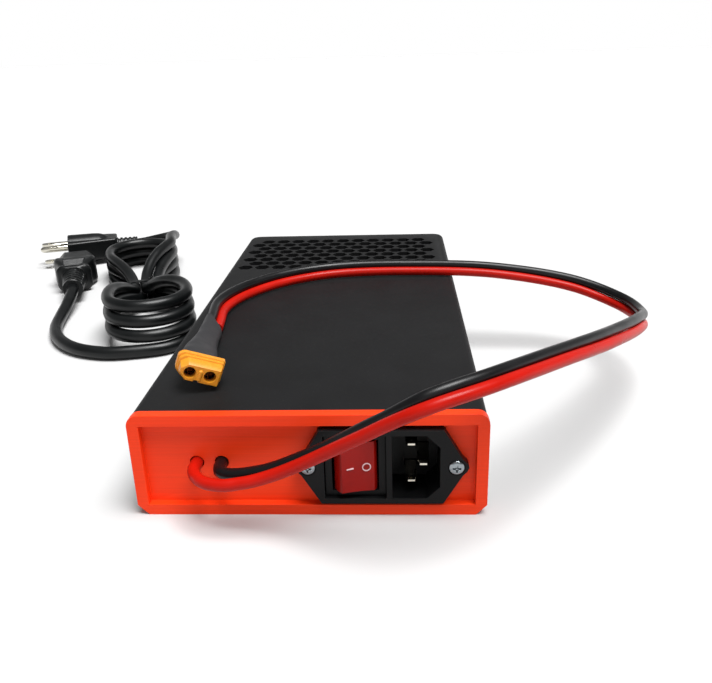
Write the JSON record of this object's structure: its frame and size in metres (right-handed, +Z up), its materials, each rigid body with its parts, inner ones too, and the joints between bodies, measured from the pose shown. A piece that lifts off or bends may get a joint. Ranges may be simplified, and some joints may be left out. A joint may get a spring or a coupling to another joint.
{
  "type": "balance battery charger",
  "caption": "Enclosed 12 V bench supply that feeds model-battery chargers: black printed case, orange bezel, switched mains inlet, output lead and a loose mains lead.",
  "frame": {"origin": "on the table, under the middle of the case (half its width and half its length)", "axes": "+X to the right of the front bezel, +Y from the front bezel to the vented rear, +Z up"},
  "size_m": [0.3814, 0.3746, 0.0597],
  "materials": {
    "black_print": "printed shell with fine layer lines, near-black",
    "orange_print": "printed bezel, glossy orange-red with layer lines",
    "black_moulding": "black moulded plastic, satin",
    "red_rocker": "red moulded rocker, glossy",
    "plated_steel": "zinc-plated steel screws",
    "nickel_brass": "nickel-plated brass pins and blades",
    "supply_sheet": "galvanised sheet",
    "circuit_board": "bare fibre board",
    "ferrite": "ferrite core",
    "yellow_tape": "yellow tape over a winding",
    "capacitor_sleeve": "dark plastic sleeve",
    "copper_winding": "enamelled copper winding",
    "aluminium": "extruded aluminium",
    "blue_trimmer": "blue trimmer case",
    "red_silicone": "red silicone insulation",
    "black_silicone": "black silicone insulation",
    "green_wire": "green wire insulation",
    "white_wire": "white wire insulation",
    "grey_sleeve": "shrunk dark grey sleeve",
    "yellow_nylon": "yellow-orange nylon connector",
    "gold_plate": "gold-plated contacts",
    "black_pvc": "black flexible PVC"
  },
  "bodies": {
    "root": {"case_shell": "black_print", "front_bezel": "orange_print", "inlet_housing": "black_moulding", "pin_line": "nickel_brass", "pin_neutral": "nickel_brass", "pin_earth": "nickel_brass", "inlet_screw_left": "plated_steel", "inlet_screw_right": "plated_steel", "switch_frame": "black_moulding", "switch_tab_left": "nickel_brass", "switch_tab_right": "nickel_brass", "supply_chassis": "supply_sheet", "supply_cover": "supply_sheet", "circuit_board": "circuit_board", "terminal_block": "black_moulding", "trimmer_body": "blue_trimmer", "selector_body": "black_moulding", "transformer_core": "ferrite", "transformer_winding": "yellow_tape", "bulk_capacitor_front": "capacitor_sleeve", "bulk_capacitor_rear": "capacitor_sleeve", "output_capacitor": "capacitor_sleeve", "line_choke": "copper_winding", "output_inductor": "copper_winding", "heatsink_left": "aluminium", "heatsink_right": "aluminium", "fan_frame": "black_moulding", "wire_positive": "red_silicone", "wire_negative": "black_silicone", "wire_line": "black_silicone", "wire_neutral": "white_wire", "wire_earth": "green_wire", "lead_positive": "red_silicone", "lead_negative": "black_silicone", "heat_shrink": "grey_sleeve", "connector_housing": "yellow_nylon", "connector_contact_negative": "gold_plate", "connector_contact_positive": "gold_plate", "c13_connector": "black_pvc", "c13_cord": "black_pvc", "mains_hank": "black_pvc", "twist_tie": "black_pvc", "plug_cord": "black_pvc", "mains_plug": "black_pvc", "plug_blade_line": "nickel_brass", "plug_blade_neutral": "nickel_brass", "plug_ground_pin": "nickel_brass", "fixing_screw_1": "plated_steel", "fixing_screw_2": "plated_steel", "fixing_screw_3": "plated_steel", "fixing_screw_4": "plated_steel", "terminal_screw_positive": "plated_steel", "terminal_screw_negative": "plated_steel", "terminal_screw_earth": "plated_steel", "terminal_screw_neutral": "plated_steel", "terminal_screw_line": "plated_steel"},
    "rocker": {"rocker": "red_rocker"},
    "fan_rotor": {"fan_rotor": "black_moulding"},
    "trimmer_rotor": {"trimmer_rotor": "nickel_brass"},
    "selector_slider": {"selector_slider": "red_rocker"}
  },
  "joints": [
    {"name": "rocker_press", "type": "hinge", "parent": "root", "child": "rocker", "pos_m": [0.0158, -0.11995, 0.0191], "axis": [0, 0, -1], "range_deg": [0, 23]},
    {"name": "fan_spin", "type": "hinge", "parent": "root", "child": "fan_rotor", "pos_m": [0, 0.08075, 0.0241], "axis": [0, 0, 1], "continuous": true},
    {"name": "trimmer_turn", "type": "hinge", "parent": "root", "child": "trimmer_rotor", "pos_m": [-0.05025, -0.086, 0.0163], "axis": [0, 0, 1], "range_deg": [-135, 135]},
    {"name": "selector_slide", "type": "slide", "parent": "root", "child": "selector_slider", "axis": [0, 1, 0], "range_m": [0, 0.005]}
  ]
}
